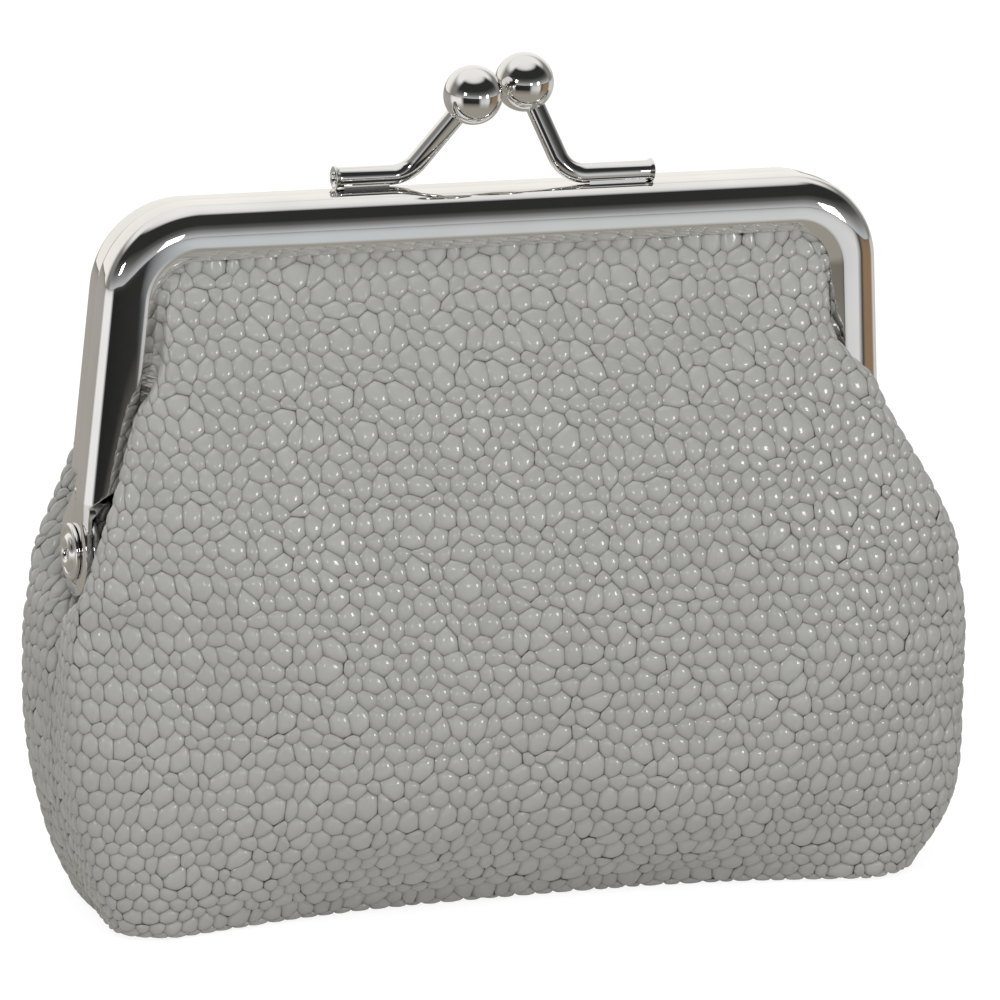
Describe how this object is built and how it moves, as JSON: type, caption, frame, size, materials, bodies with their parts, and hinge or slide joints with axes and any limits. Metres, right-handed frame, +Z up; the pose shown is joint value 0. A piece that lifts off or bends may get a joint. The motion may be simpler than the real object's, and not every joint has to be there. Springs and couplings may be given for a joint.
{
  "type": "squeeze coin purse",
  "caption": "Boxed leather coin purse with pebbled grain, hung in a hinged nickel frame whose two halves snap shut with crossing ball clasps.",
  "frame": {"origin": "on the floor under the middle of the pouch, at the meeting plane of the two halves", "axes": "+X to the right as seen from the front, along the hinge line; -Y out of the front; +Z up from the base to the clasp balls"},
  "size_m": [0.0975, 0.028, 0.0867],
  "materials": {
    "nickel": "mirror-polished nickel plate",
    "solder": "satin tin solder",
    "leather": "pearl-grained leather, semi-gloss light grey",
    "lining": "matte tan lining",
    "paper": "twisted kraft paper cord"
  },
  "bodies": {
    "pouch": {"front_panel": "leather", "rear_panel": "leather", "front_lining": "lining", "rear_lining": "lining"},
    "front_half": {"front_frame": "nickel", "front_clasp_stem": "nickel", "front_clasp_ball": "nickel", "front_clasp_solder": "solder", "front_paper_cord": "paper"},
    "rear_half": {"rear_frame": "nickel", "rear_clasp_stem": "nickel", "rear_clasp_ball": "nickel", "rear_clasp_solder": "solder", "rear_paper_cord": "paper", "hinge_rivet_left": "nickel", "hinge_rivet_right": "nickel", "hinge_washer_left": "nickel", "hinge_washer_right": "nickel"}
  },
  "joints": [
    {"name": "front_half_swing", "type": "hinge", "parent": "pouch", "child": "front_half", "pos_m": [-0.0036, 0, 0.0382], "axis": [1, 0, 0], "range_deg": [0, 45], "deforming": ["front_panel", "front_lining"]},
    {"name": "rear_half_swing", "type": "hinge", "parent": "pouch", "child": "rear_half", "pos_m": [-0.0036, 0, 0.0382], "axis": [-1, 0, 0], "range_deg": [0, 45], "deforming": ["rear_panel", "rear_lining"]}
  ],
  "couplings": [
    {"joint": "rear_half_swing", "follows": "front_half_swing", "ratio": 1}
  ]
}
